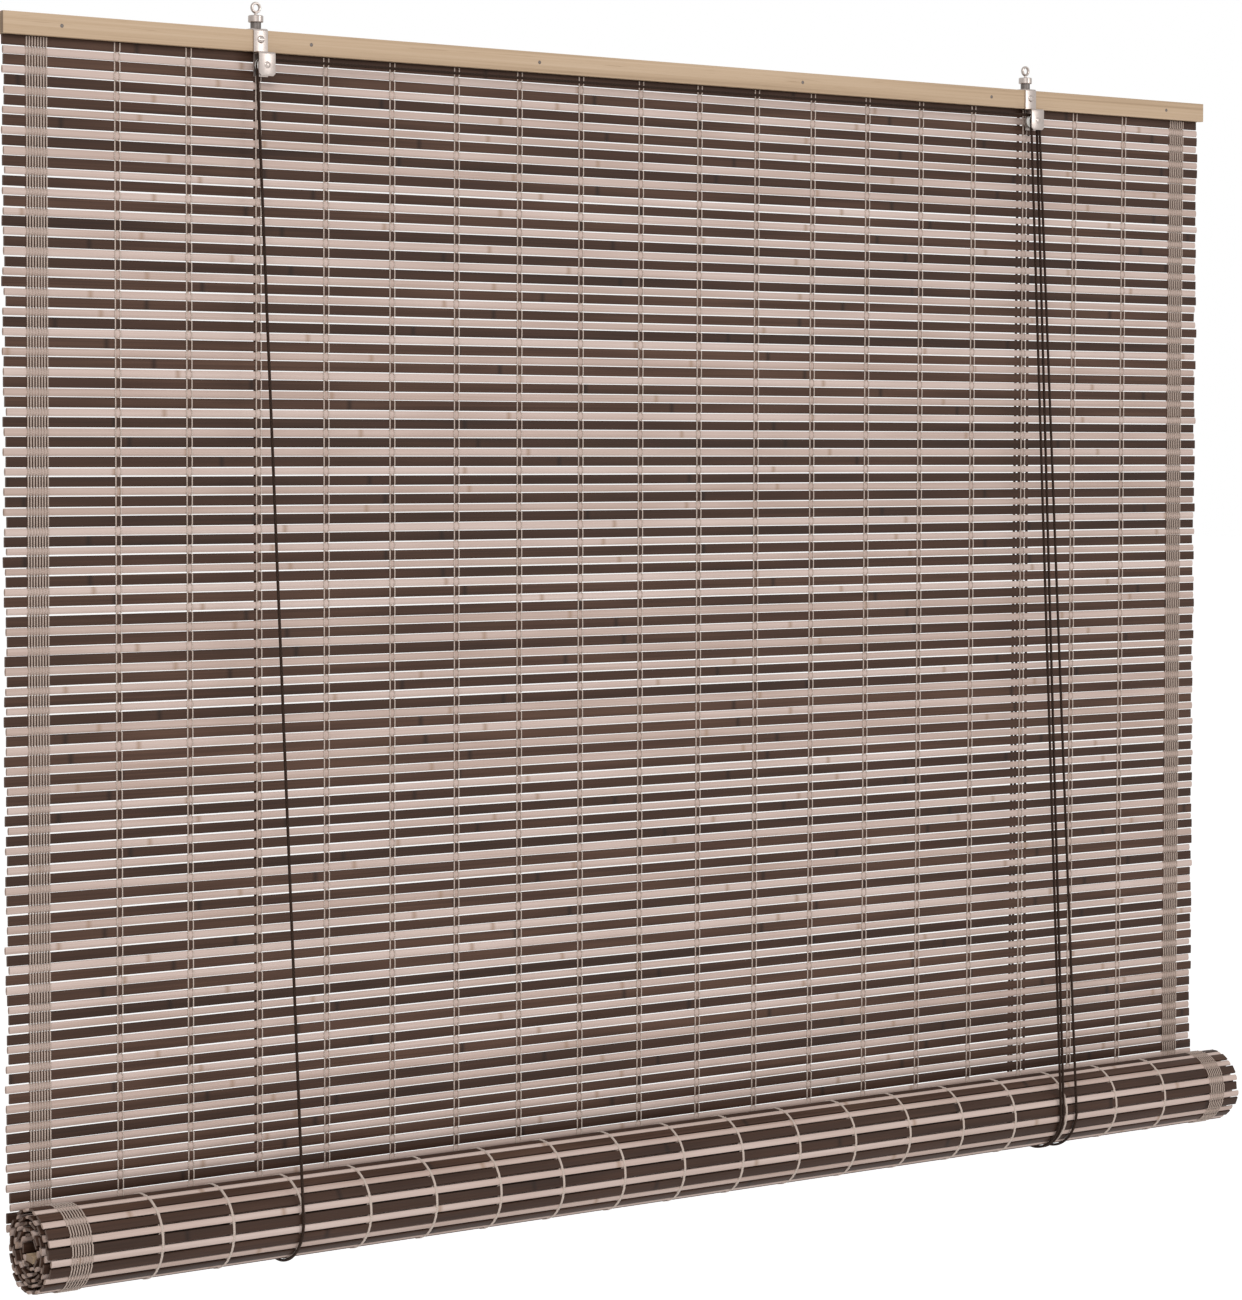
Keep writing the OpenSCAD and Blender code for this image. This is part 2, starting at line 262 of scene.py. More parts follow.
def bambooMaterial(name):
    look = bambooLooks[name]
    material, graph = newMaterial(name)
    tint = attribute(graph, "tint")
    fibre = stretched(graph, cane["fibre"], 5.0, 0.65)
    patch = stretched(graph, cane["patch"], 2.0, 0.5)
    mixed = fibre * 0.4 + patch * 0.4 + tint * 0.2
    tone = graph.add("ShaderNodeValToRGB", {"stops": look["tones"]}, {"Fac": (mixed - 0.3) * 2.4})
    place = graph.add("ShaderNodeTexCoord", out="Object")
    along = graph.add("ShaderNodeSeparateXYZ", None, {0: place}, out=0)
    # the cane's own joints, at a different place on each slat
    turn = (along / cane["jointEvery"] + tint * cane["jointShift"]).of("FRACT")
    joint = 1 - ((turn - 0.5).of("ABSOLUTE") * cane["jointSharp"]).of("MINIMUM", 1.0)
    banded = blendColour(graph, joint * cane["jointShare"], tone, (*look["joint"], 1))
    colour = blendColour(graph, cutEnds(graph) * (0.6 + fibre * 0.4), banded, (*look["cutEnd"], 1))
    rough = fibre * 0.2 + (look["rough"] - 0.1)
    finish(graph, surface(graph, colour=colour, rough=rough, specular=look["shine"],
                          normal=bump(graph, fibre + joint * 0.8, look["grainBump"], 0.0006)))
    return material


railWoodLook = {
    "grain": (2.2, 420, 420), "band": (0.8, 90, 90), "bandShift": (0.3, 0, 0), "fleck": (22, 900, 900),
    "tones": [(0.0, (0.30, 0.198, 0.118)), (0.45, (0.475, 0.340, 0.223)), (1.0, (0.595, 0.452, 0.325))],
    "pore": (0.30, 0.19, 0.11), "cutEnd": (0.15, 0.095, 0.058),
}


def railWoodMaterial():
    look = railWoodLook
    material, graph = newMaterial("railWood")
    grain = stretched(graph, look["grain"], 6.0, 0.62)
    band = stretched(graph, look["band"], 2.0, 0.5, look["bandShift"])
    fleck = stretched(graph, look["fleck"], 2.0, 0.5)
    mixed = grain * 0.6 + band * 0.4
    tone = graph.add("ShaderNodeValToRGB", {"stops": look["tones"]}, {"Fac": (mixed - 0.25) * 2.0})
    pore = ((fleck - 0.66) * 9).of("MAXIMUM", 0.0).of("MINIMUM", 1.0)
    pored = blendColour(graph, pore * 0.5, tone, (*look["pore"], 1))
    colour = blendColour(graph, cutEnds(graph) * 0.8, pored, (*look["cutEnd"], 1))
    finish(graph, surface(graph, colour=colour, rough=0.5 + grain * 0.16, specular=0.3,
                          normal=bump(graph, grain - pore * 0.5, 0.22, 0.0007)))
    return material


yarnLooks = {
    "warpYarn": {"pale": (0.66, 0.55, 0.48), "deep": (0.42, 0.33, 0.28)},
    "edgeYarn": {"pale": (0.62, 0.50, 0.43), "deep": (0.34, 0.26, 0.215)},
}


def yarnMaterial(name):
    look = yarnLooks[name]
    material, graph = newMaterial(name)
    fluff = stretched(graph, (900, 900, 420), 3.0, 0.6)
    place = graph.add("ShaderNodeTexCoord", out="Object")
    twist = graph.add("ShaderNodeTexWave", {"wave_type": "BANDS", "bands_direction": "DIAGONAL"},
                      {"Vector": place, "Scale": 420.0, "Distortion": 0.6})
    colour = blendColour(graph, fluff * 0.6 + twist * 0.4, (*look["deep"], 1), (*look["pale"], 1))
    finish(graph, surface(graph, colour=colour, rough=0.85, sheen=0.25, specular=0.15,
                          normal=bump(graph, twist * 0.7 + fluff * 0.5, 0.5, 0.0004)))
    return material


cordLook = {
    "deep": (0.008, 0.0045, 0.003), "pale": (0.046, 0.024, 0.015),
    "turnsAlong": 330, "strandsRound": 4,
}


def cordMaterial():
    material, graph = newMaterial("braidedCord")
    along = attribute(graph, "along")
    around = attribute(graph, "around")
    # two sets of strands that wind opposite ways and pass over each other
    run, lay = along * cordLook["turnsAlong"], around * cordLook["strandsRound"]
    first = ((run + lay) * fullTurn).of("SINE")
    second = ((run - lay) * fullTurn).of("SINE")
    weave = first.of("MAXIMUM", second)
    fuzz = stretched(graph, (700, 700, 700), 2.0, 0.5)
    share = (weave * 0.35 + 0.5) * (0.55 + fuzz * 0.6)
    colour = blendColour(graph, share, (*cordLook["deep"], 1), (*cordLook["pale"], 1))
    finish(graph, surface(graph, colour=colour, rough=0.78, specular=0.15,
                          normal=bump(graph, weave, 0.55, 0.0004)))
    return material


steelLooks = {
    "platedSteel": {"tone": (0.44, 0.385, 0.355), "rough": 0.26},
    # dark steel: the rail tacks' own colour, and painted shade on the posts under the eyes' collars
    "darkSteel": {"tone": (0.16, 0.14, 0.13), "rough": 0.42},
}
steelWear = (0.72, 0.68, 0.65)


def steelMaterial(name):
    look = steelLooks[name]
    material, graph = newMaterial(name)
    brush = stretched(graph, (90, 900, 60), 3.0, 0.6)
    stain = stretched(graph, (130, 130, 130), 3.0, 0.55)
    dull = ((stain - 0.5) * 4).of("MAXIMUM", 0.0).of("MINIMUM", 1.0)
    worn = [part * wear for part, wear in zip(look["tone"], steelWear)]
    colour = blendColour(graph, dull * 0.4, (*look["tone"], 1), (*worn, 1))
    rough = look["rough"] + brush * 0.12 + dull * 0.14
    finish(graph, surface(graph, colour=colour, metal=1.0, rough=rough,
                          normal=bump(graph, brush, 0.06, 0.0004)))
    return material


nylonLook = {"fresh": (0.80, 0.79, 0.76), "aged": (0.70, 0.68, 0.64)}


def nylonMaterial():
    material, graph = newMaterial("whiteNylon")
    speck = stretched(graph, (600, 600, 600), 3.0, 0.6)
    colour = blendColour(graph, speck * 0.5, (*nylonLook["fresh"], 1), (*nylonLook["aged"], 1))
    finish(graph, surface(graph, colour=colour, rough=0.38 + speck * 0.15,
                          normal=bump(graph, speck, 0.08, 0.0003)))
    return material


looks = {
    "darkBamboo": bambooMaterial("darkBamboo"),
    "lightBamboo": bambooMaterial("lightBamboo"),
    "railWood": railWoodMaterial(),
    "warpYarn": yarnMaterial("warpYarn"),
    "edgeYarn": yarnMaterial("edgeYarn"),
    "braidedCord": cordMaterial(),
    "platedSteel": steelMaterial("platedSteel"),
    "darkSteel": steelMaterial("darkSteel"),
    "whiteNylon": nylonMaterial(),
}
print("materials made")


# Mesh helpers
def meshObject(name, verts, edges=(), faces=()):
    mesh = bpy.data.meshes.new(name)
    mesh.from_pydata([tuple(vert) for vert in verts], list(edges), list(faces))
    mesh.update()
    piece = bpy.data.objects.new(name, mesh)
    bpy.context.scene.collection.objects.link(piece)
    return piece


def fixNormals(piece):
    work = bmesh.new()
    work.from_mesh(piece.data)
    bmesh.ops.remove_doubles(work, verts=work.verts, dist=1e-7)
    bmesh.ops.recalc_face_normals(work, faces=work.faces)
    work.to_mesh(piece.data)
    work.free()


def loft(name, rings):
    # skin over rings of equal count, with flat ends
    count, last = len(rings[0]), (len(rings) - 1) * len(rings[0])
    faces = []
    for base in range(0, last, count):
        for k in range(count):
            near, far = base + k, base + (k + 1) % count
            faces.append((near, far, far + count, near + count))
    faces += [tuple(range(count)), tuple(range(last, last + count))]
    piece = meshObject(name, [vert for ring in rings for vert in ring], (), faces)
    fixNormals(piece)
    return piece


def smooth(piece, angle):
    for face in piece.data.polygons:
        face.use_smooth = True
    piece.data.set_sharp_from_angle(angle=math.radians(angle))


def bakeModifiers(piece):
    bpy.context.view_layer.update()
    whole = bpy.data.meshes.new_from_object(piece.evaluated_get(bpy.context.evaluated_depsgraph_get()))
    piece.modifiers.clear()
    old = piece.data
    piece.data = whole
    bpy.data.meshes.remove(old)
    whole.name = piece.name
    return piece


def bevelled(piece, width, segments, angle=40):
    edge = piece.modifiers.new("edges", "BEVEL")
    edge.width = width
    edge.segments = segments
    edge.limit_method = "ANGLE"
    edge.angle_limit = math.radians(angle)
    return bakeModifiers(piece)


def dress(piece, look, body, *nodes):
    piece.data.materials.clear()
    piece.data.materials.append(looks[look])
    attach(piece, body)
    if nodes:
        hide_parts(*nodes)
    return piece


def join(name, pieces):
    work = bmesh.new()
    for piece in pieces:
        work.from_mesh(piece.data)
        bpy.data.objects.remove(piece)
    joined = meshObject(name, [])
    work.to_mesh(joined.data)
    work.free()
    return joined


def gatherUp(piece, top):
    # works out the share of the hung length that stays when the roll is raised, but does not use it; the
    # piece only gets its own mesh
    length = top - blind["rollCentre"][2]
    keep = (length - blind["liftRange"]) / length
    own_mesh(piece)


# Geometry node trees
socketKinds = {"float": "NodeSocketFloat", "int": "NodeSocketInt", "object": "NodeSocketObject",
               "material": "NodeSocketMaterial"}


# a node tree with named inputs, run on a piece and baked into its mesh
class Maker:
    def __init__(self, name, inputs):
        self.tree = bpy.data.node_groups.new(name, "GeometryNodeTree")
        face = self.tree.interface
        face.new_socket("Geometry", in_out="INPUT", socket_type="NodeSocketGeometry")
        face.new_socket("Geometry", in_out="OUTPUT", socket_type="NodeSocketGeometry")
        self.keys = {}
        for label, kind in inputs.items():
            socket = face.new_socket(label, in_out="INPUT", socket_type=socketKinds[kind])
            self.keys[label] = socket.identifier
        self.graph = Graph(self.tree)
        self.group = self.graph.add("NodeGroupInput")

    def given(self, label="Geometry"):
        return self.graph.other(self.group, label)

    def end(self, geometry):
        whole = self.graph.add("GeometryNodeRealizeInstances", None, {"Geometry": geometry})
        painted = self.graph.add("GeometryNodeSetMaterial", None,
                                 {"Geometry": whole, "Material": self.given("Material")})
        self.graph.add("NodeGroupOutput", None, {0: painted})

    def run(self, piece, **values):
        modifier = piece.modifiers.new(self.tree.name, "NODES")
        modifier.node_group = self.tree
        for label, key in self.keys.items():
            modifier[key] = values[label]
        return bakeModifiers(piece)


unevenness = {"tiltPerMetre": 12, "swing": 0.00035, "sway": (3.0, 61.0, 61.0)}


def pieceTree():
    # lays one blank on every point, turned by the point's tilt, and lets each swell and bow a little
    maker = Maker("layPieces", {"Blank": "object", "Bow": "float", "Uneven": "float", "Swell": "float",
                                "Seed": "int", "Material": "material"})
    graph = maker.graph
    blank = graph.add("GeometryNodeObjectInfo", None, {"Object": maker.given("Blank")}, out="Geometry")
    tilt = graph.add("GeometryNodeInputNamedAttribute", {"data_type": "FLOAT"}, {"Name": "tilt"},
                     out="Attribute")
    wobble = graph.add("FunctionNodeRandomValue", {"data_type": "FLOAT"},
                       {2: -1.0, 3: 1.0, "Seed": maker.given("Seed")}, out=1)
    euler = graph.add("ShaderNodeCombineXYZ", None,
                      {0: tilt + wobble * maker.given("Uneven") * unevenness["tiltPerMetre"],
                       1: wobble * unevenness["swing"]})
    turn = graph.add("FunctionNodeEulerToRotation", None, {0: euler})
    grown = graph.add("FunctionNodeRandomValue", {"data_type": "FLOAT"},
                      {2: 0.0, 3: 1.0, "Seed": maker.given("Seed") + 13}, out=1)
    size = graph.add("ShaderNodeCombineXYZ", None, {0: 1.0, 1: 1.0, 2: 1 + grown * maker.given("Swell")})
    laid = graph.add("GeometryNodeInstanceOnPoints", None,
                     {"Points": maker.given(), "Instance": blank, "Rotation": turn, "Scale": size})
    slip = graph.add("FunctionNodeRandomValue", {"data_type": "FLOAT"},
                     {2: -1.0, 3: 1.0, "Seed": maker.given("Seed") + 7}, out=1)
    shove = graph.add("ShaderNodeCombineXYZ", None, {0: slip * maker.given("Uneven")})
    shifted = graph.add("GeometryNodeTranslateInstances", None, {"Instances": laid, "Translation": shove})
    whole = graph.add("GeometryNodeRealizeInstances", None, {"Geometry": shifted})
    place = graph.add("GeometryNodeInputPosition")
    scaled = graph.add("ShaderNodeVectorMath", {"operation": "MULTIPLY"}, {0: place, 1: unevenness["sway"]})
    noise = graph.add("ShaderNodeTexNoise", None, {"Vector": scaled, "Scale": 1.0, "Detail": 1.0}, out=0)
    sway = (noise - 0.5) * maker.given("Bow")
    offset = graph.add("ShaderNodeCombineXYZ", None, {1: sway * 0.5, 2: sway})
    bowed = graph.add("GeometryNodeSetPosition", None, {"Geometry": whole, "Offset": offset})
    maker.end(bowed)
    return maker


def tubeTree():
    # a round tube along every line, repeated along X, with its length and turn kept for the shader
    maker = Maker("tubesAlongLines", {"Radius": "float", "Sides": "int", "First X": "float",
                                      "Step X": "float", "Count": "int", "Material": "material"})
    graph = maker.graph
    line = graph.add("GeometryNodeMeshToCurve", None, {"Mesh": maker.given()})
    length = graph.add("GeometryNodeSplineParameter", out="Length")
    kept = graph.add("GeometryNodeStoreNamedAttribute", {"data_type": "FLOAT", "domain": "POINT"},
                     {"Geometry": line, "Name": "along", "Value": length})
    ring = graph.add("GeometryNodeCurvePrimitiveCircle", None,
                     {"Resolution": maker.given("Sides"), "Radius": maker.given("Radius")})
    share = graph.add("GeometryNodeSplineParameter", out="Factor")
    ringKept = graph.add("GeometryNodeStoreNamedAttribute", {"data_type": "FLOAT", "domain": "POINT"},
                         {"Geometry": ring, "Name": "around", "Value": share})
    tube = graph.add("GeometryNodeCurveToMesh", None,
                     {"Curve": kept, "Profile Curve": ringKept, "Fill Caps": True})
    smoothed = graph.add("GeometryNodeSetShadeSmooth", None, {"Geometry": tube})
    start = graph.add("ShaderNodeCombineXYZ", None, {0: maker.given("First X")})
    step = graph.add("ShaderNodeCombineXYZ", None, {0: maker.given("Step X")})
    points = graph.add("GeometryNodeMeshLine", None,
                       {"Count": maker.given("Count"), "Start Location": start, "Offset": step})
    maker.end(graph.add("GeometryNodeInstanceOnPoints", None, {"Points": points, "Instance": smoothed}))
    return maker


layPieces = pieceTree()
tubesAlongLines = tubeTree()


def lineObject(name, *paths):
    verts, edges = [], []
    for path in paths:
        first = len(verts)
        verts += path
        edges += [(first + i, first + i + 1) for i in range(len(path) - 1)]
    return meshObject(name, verts, edges)


def tubes(name, look, paths, radius, sides, firstX=0.0, stepX=0.0, count=1):
    piece = lineObject(name, *paths)
    return tubesAlongLines.run(piece, **{
        "Radius": radius, "Sides": sides, "First X": firstX, "Step X": stepX, "Count": count,
        "Material": looks[look]})


# Cords: two, each tied behind the rail, led under the roll, up over the sheaves and back the same way
cords = {
    "radius": 1.1 * mm,
    "clear": 0.3 * mm,
    "grooveRadius": 3.4 * mm,
    "grooveRib": 0.6 * mm,
    "rollX": {"left": -390.0 * mm, "lift": 380.2 * mm, "far": 383.4 * mm, "near": 398.6 * mm},
    "tieX": {"left": -388.7 * mm, "lift": 385.6 * mm, "far": 391.8 * mm, "near": 398.0 * mm},
    "tieY": 4.0 * mm,
    "tieDown": 5.25 * mm,
    "stapleRadius": 0.7 * mm,
    "stapleLoop": 1.6 * mm,
    "pointStep": 12 * mm,
    "sides": 10,
    "knotSize": 0.55 * mm,
    "knotRadius": 0.88 * mm,
    "eyeReach": 0.992 * mm,
    "eyeDeep": 2.2 * mm,
    "eyeUp": 3.2 * mm,
    "tailFrom": Vector((1.0, 0.4, -1.2)) * mm,
    "tailRun": Vector((0.8, 0.5, -9)) * mm,
    "steps": {"sling": 40, "quarterTurn": 12, "knot": 60, "eye": 24, "tail": 4, "staple": 20},
}
cordNodes = {
    "left": ("left_front_cord", "left_sling", "left_back_cord"),
    "lift": ("right_front_cord", "right_sling", "right_back_cord"),
    "far": ("far_pull_cord", "far_sling", "far_back_cord"),
    "near": ("near_pull_cord", "near_sling", "near_back_cord"),
}
xAxis, yAxis, zAxis = Vector((1, 0, 0)), Vector((0, 1, 0)), Vector((0, 0, 1))
tieZ = blind["railBottom"] - cords["tieDown"]


def straight(first, last):
    first, last = Vector(first), Vector(last)
    steps = max(2, int((last - first).length / cords["pointStep"]))
    return [first.lerp(last, i / steps) for i in range(steps + 1)]


def arc(centre, radius, start, end, across, up, steps):
    turns = [start + (end - start) * i / steps for i in range(steps + 1)]
    return [centre + radius * (math.cos(turn) * across + math.sin(turn) * up) for turn in turns]


def layCord(name, paths, body, *nodes, radius=cords["radius"]):
    return dress(tubes(name, "braidedCord", paths, radius, cords["sides"]), "braidedCord", body, *nodes)


def makeCords():
    steps = cords["steps"]
    thick = cords["radius"] + cords["clear"]
    wrap = cords["grooveRadius"] + thick
    offset = thick + cords["grooveRib"] / 2
    rearY, nearY = blind["axleY"] + offset, blind["axleY"] - offset
    hangerX, axleZ = blind["hangerX"], blind["axleZ"]
    centre = blind["rollCentre"]
    slingR = blind["rollRadius"] + thick
    lean = math.atan((rearY - centre[1] + slingR) / (axleZ - centre[2]))
    leave = {"left": (-hangerX - wrap, rearY), "lift": (hangerX - wrap, nearY),
             "far": (hangerX + wrap, rearY), "near": (hangerX + wrap, nearY)}
    for key, (frontNode, slingNode, backNode) in cordNodes.items():
        rollX = cords["rollX"][key]
        foot = (rollX, centre[1] - slingR * math.cos(lean), centre[2] + slingR * math.sin(lean))
        front = straight((*leave[key], axleZ), foot)
        gatherUp(layCord(key + "FrontCord", [front], "frame", frontNode), axleZ)
        hub = Vector((rollX, centre[1], centre[2]))
        under = arc(hub, slingR, math.pi - lean, fullTurn, yAxis, zAxis, steps["sling"])
        layCord(key + "Sling", [under], "slings", slingNode)
        heel = (rollX, centre[1] + slingR, centre[2])
        tie = (cords["tieX"][key], cords["tieY"], tieZ)
        gatherUp(layCord(key + "BackCord", [straight(heel, tie)], "frame", backNode), tieZ)
    left, right = Vector((-hangerX, rearY, axleZ)), Vector((hangerX, rearY, axleZ))
    cross = arc(left, wrap, math.pi, math.pi / 2, xAxis, zAxis, steps["quarterTurn"])
    cross += straight(left + wrap * zAxis, right + wrap * zAxis)[1:-1]
    cross += arc(right, wrap, math.pi / 2, 0, xAxis, zAxis, steps["quarterTurn"])
    layCord("crossCord", [cross], "frame", "cross_cord")
    near = Vector((hangerX, nearY, axleZ))
    over = arc(near, wrap, math.pi, 0, xAxis, zAxis, 2 * steps["quarterTurn"])
    layCord("rightTurnCord", [over], "frame", "right_turn_cord")


def overhandLoop(turn):
    return Vector((math.sin(turn) + 2 * math.sin(2 * turn), -1.2 * math.sin(3 * turn),
                   math.cos(turn) - 2 * math.cos(2 * turn))) * cords["knotSize"]


def makeKnots():
    knots, wires, steps = [], [], cords["steps"]
    reach = cords["eyeReach"]
    slant = zAxis + yAxis * (cords["eyeDeep"] / reach)
    loop = cords["stapleLoop"] + cords["stapleRadius"]
    for x in cords["tieX"].values():
        heart = Vector((x, cords["tieY"], tieZ))
        knots.append([heart + overhandLoop(fullTurn * i / steps["knot"]) for i in range(steps["knot"] + 1)])
        knots.append(arc(heart + zAxis * cords["eyeUp"], reach, 0, fullTurn, xAxis, slant, steps["eye"]))
        tail = heart + cords["tailFrom"]
        knots.append([tail + cords["tailRun"] * (i / steps["tail"]) for i in range(steps["tail"] + 1)])
        seat = Vector((x, cords["tieY"], blind["railBottom"]))
        wires.append(arc(seat, loop, math.pi, fullTurn, xAxis, zAxis, steps["staple"]))
    layCord("cordKnots", knots, "frame", radius=cords["knotRadius"])
    staples = tubes("cordStaples", "platedSteel", wires, cords["stapleRadius"], cords["sides"])
    dress(staples, "platedSteel", "frame", "cord_staples")


makeCords()
makeKnots()
print("cords made")


# Hung mat: dark slats, pale sticks and the threads that bind them
matLook = {
    "seed": 11,
    "slatCorner": 0.55 * mm,
    "slatBow": 0.9 * mm,
    "slatUneven": 1.8 * mm,
    "slatSwell": 0.06,
    "stickThick": 2.3 * mm,
    "stickSides": 10,
    "stickBow": 1.3 * mm,
    "stickUneven": 1.6 * mm,
    "stickSwell": 0.16,
    "lengthSteps": 18,
    "rollSteps": 10,
    "rollSlatBow": 0.45 * mm,
    "rollStickBow": 0.52 * mm,
    "boundPieces": 32,
}


def roundedSection(high, thick, corner, perCorner=2):
    points = []
    for quarter, (up, out) in enumerate(((1, 1), (1, -1), (-1, -1), (-1, 1))):
        for k in range(perCorner + 1):
            turn = (quarter + k / perCorner) * math.pi / 2
            points.append((math.cos(turn) * corner + (thick / 2 - corner) * out,
                           math.sin(turn) * corner + (high / 2 - corner) * up))
    return points


def barBlank(name, length, section, steps):
    blank = loft(name, [[(length * (i / steps - 0.5), y, z) for y, z in section] for i in range(steps + 1)])
    smooth(blank, 50)
    return blank


def slatSection():
    return roundedSection(blind["slatHigh"], blind["slatThick"], matLook["slatCorner"])


def stickSection():
    high, thick, count = blind["stickHigh"], matLook["stickThick"], matLook["stickSides"]
    turns = [fullTurn * k / count for k in range(count)]
    return [(math.cos(turn) * thick / 2, math.sin(turn) * high / 2) for turn in turns]


def layRow(name, look, points, blank, seed, bow=0.0, uneven=0.0, swell=0.0):
    rng = random.Random(seed)
    piece = meshObject(name, [spot for spot, tilt in points])
    tilts = piece.data.attributes.new("tilt", "FLOAT", "POINT")
    tints = piece.data.attributes.new("tint", "FLOAT", "POINT")
    for i, (spot, tilt) in enumerate(points):
        tilts.data[i].value = tilt
        tints.data[i].value = rng.random()
    layPieces.run(piece, **{"Blank": blank, "Bow": bow, "Uneven": uneven, "Swell": swell, "Seed": seed,
                            "Material": looks[look]})
    bpy.data.objects.remove(blank)
    return piece


def rowZ(row):
    return blind["railBottom"] - blind["slatHigh"] / 2 - row * blind["rowPitch"]


def makeHungMat():
    width, steps = blind["matWidth"], matLook["lengthSteps"]
    slats = [((0, 0, rowZ(row)), 0.0) for row in range(-1, blind["rows"])]
    blank = barBlank("slatBlank", width, slatSection(), steps)
    piece = layRow("hungSlats", "darkBamboo", slats, blank, matLook["seed"],
                   matLook["slatBow"], matLook["slatUneven"], matLook["slatSwell"])
    dress(piece, "darkBamboo", "frame", "dark_slats")
    gatherUp(piece, blind["railBottom"])
    sticks = [((0, 0, rowZ(row + 0.5)), 0.0) for row in range(-1, blind["rows"] - 1)]
    blank = barBlank("stickBlank", width, stickSection(), steps)
    piece = layRow("hungSticks", "lightBamboo", sticks, blank, matLook["seed"] + 1,
                   matLook["stickBow"], matLook["stickUneven"], matLook["stickSwell"])
    dress(piece, "lightBamboo", "frame", "light_sticks")
    gatherUp(piece, blind["railBottom"])


makeHungMat()
print("hung mat made")


# Threads: a chain of two legs down the front of the mat and a single yarn down its back
threads = {
    "radius": 0.52 * mm,
    "reach": 1.4 * mm,
    "dip": 0.3 * mm,
    "edgeShare": 0.42,
    "spineRadius": 1.1 * mm,
    "spineReach": 0.8 * mm,
    "spineSides": 6,
    "chain": 2.2 * mm,
    "chainNeck": 1.5 * mm,
    "sides": 5,
    "warpPitch": 59.8 * mm,
    "warps": 18,
    "bandX": 574 * mm,
    "bandWidth": 16 * mm,
    "bandLines": 8,
    "bandRadius": 0.62 * mm,
    "bandReach": 1.4 * mm,
    "bandSides": 4,
}


def yarnPath(pieces, place, face, reach, spread=0.0, neck=0.0):
    # over each piece near both its edges, then down into the gap that follows it
    path = []
    for i, (key, high) in enumerate(pieces):
        for edge in (threads["edgeShare"], -threads["edgeShare"]):
            path.append(place(key, edge * high, face * reach, spread))
        if i + 1 < len(pieces):
            dip = face * threads["dip"]
            nextKey, nextHigh = pieces[i + 1]
            path.append((place(key, -high / 2, dip, neck) + place(nextKey, nextHigh / 2, dip, neck)) / 2)
    return path


def layThreads(name, pieces, place, body, nodes, top=None):
    pitch, count = threads["warpPitch"], threads["warps"]
    columns = (-(count - 1) * pitch / 2, pitch, count)
    legs = [yarnPath(pieces, place, -1, threads["reach"], hand * threads["chain"],
                     hand * threads["chainNeck"]) for hand in (-1, 1)]
    spine = [yarnPath(pieces, place, 1, threads["spineReach"])]
    made = [tubes(name + "Chains", "warpYarn", legs, threads["radius"], threads["sides"], *columns),
            tubes(name + "Spines", "warpYarn", spine, threads["spineRadius"], threads["spineSides"],
                  *columns)]
    step = threads["bandWidth"] / (threads["bandLines"] - 1)
    both = [yarnPath(pieces, place, face, threads["bandReach"]) for face in (-1, 1)]
    for label, hand in sides.items():
        first = hand * threads["bandX"] - threads["bandWidth"] / 2
        made.append(tubes(name + label.capitalize() + "Band", "edgeYarn", both, threads["bandRadius"],
                          threads["bandSides"], first, step, threads["bandLines"]))
    for piece, look in zip(made, ("warpYarn", "warpYarn", "edgeYarn", "edgeYarn")):
        dress(piece, look, body, *(nodes if piece is made[0] else []))
        if top is not None:
            gatherUp(piece, top)


def hungPlace(z, along, out, side):
    return Vector((side, out, z + along))


hungPieces = []
for row in range(blind["rows"]):
    hungPieces.append((rowZ(row), blind["slatHigh"]))
    if row + 1 < blind["rows"]:
        hungPieces.append((rowZ(row + 0.5), blind["stickHigh"]))
layThreads("hung", hungPieces, hungPlace, "frame", ["warp_threads"], blind["railBottom"])
print("threads made")


# Roll: the same mat wound on its bottom lath
def turnDrop(turns):
    share = blind["roundShare"]
    if turns < share:
        return 0.0
    return (turns - share) / (1 - share) if turns < 1 else turns


def layerRadius(angle):
    layer = blind["slatThick"] + 2 * blind["threadThick"]
    return blind["rollRadius"] - layer - (layer + blind["turnGap"]) * turnDrop(angle / fullTurn)


def windAngles():
    angle = (blind["rowPitch"] - blind["slatHigh"]) / 2 / blind["rollRadius"]
    angles = []
    while layerRadius(angle) >= blind["coreRadius"]:
        angles.append(angle)
        angle += blind["rowPitch"] / 2 / (layerRadius(angle) + blind["slatThick"] / 2)
    return angles[:2 * (len(angles) // 2)]


def onRoll(angle, out, x=0.0):
    radius = layerRadius(angle) + blind["threadThick"] + blind["slatThick"] / 2 + out
    centre = blind["rollCentre"]
    return Vector((x, centre[1] + radius * math.cos(-angle), centre[2] + radius * math.sin(-angle)))


def makeRoll():
    angles = windAngles()
    width, steps = blind["matWidth"], matLook["rollSteps"]
    slats = [(onRoll(angle, 0), -angle) for angle in angles[1::2]]
    blank = barBlank("slatBlank", width, slatSection(), steps)
    piece = layRow("rolledSlats", "darkBamboo", slats, blank, matLook["seed"] + 2,
                   matLook["rollSlatBow"], matLook["slatUneven"])
    dress(piece, "darkBamboo", "roll", "roll_slats")
    sticks = [(onRoll(angle, 0), -angle) for angle in angles[0::2]]
    blank = barBlank("stickBlank", width, stickSection(), steps)
    piece = layRow("rolledSticks", "lightBamboo", sticks, blank, matLook["seed"] + 3,
                   matLook["rollStickBow"], matLook["stickUneven"])
    dress(piece, "lightBamboo", "roll", "roll_sticks")

    def rollPlace(angle, along, out, side):
        spot = onRoll(angle, out, side)
        return spot + Vector((0, -math.sin(-angle), math.cos(-angle))) * along

    highs = (blind["stickHigh"], blind["slatHigh"])
    rolled = [(angle, highs[i % 2]) for i, angle in enumerate(angles[:matLook["boundPieces"]])]
    layThreads("rolled", rolled, rollPlace, "roll", [])


makeRoll()
print("roll made")


# Head rail
rail = {"steps": 40, "bevel": 0.5 * mm}


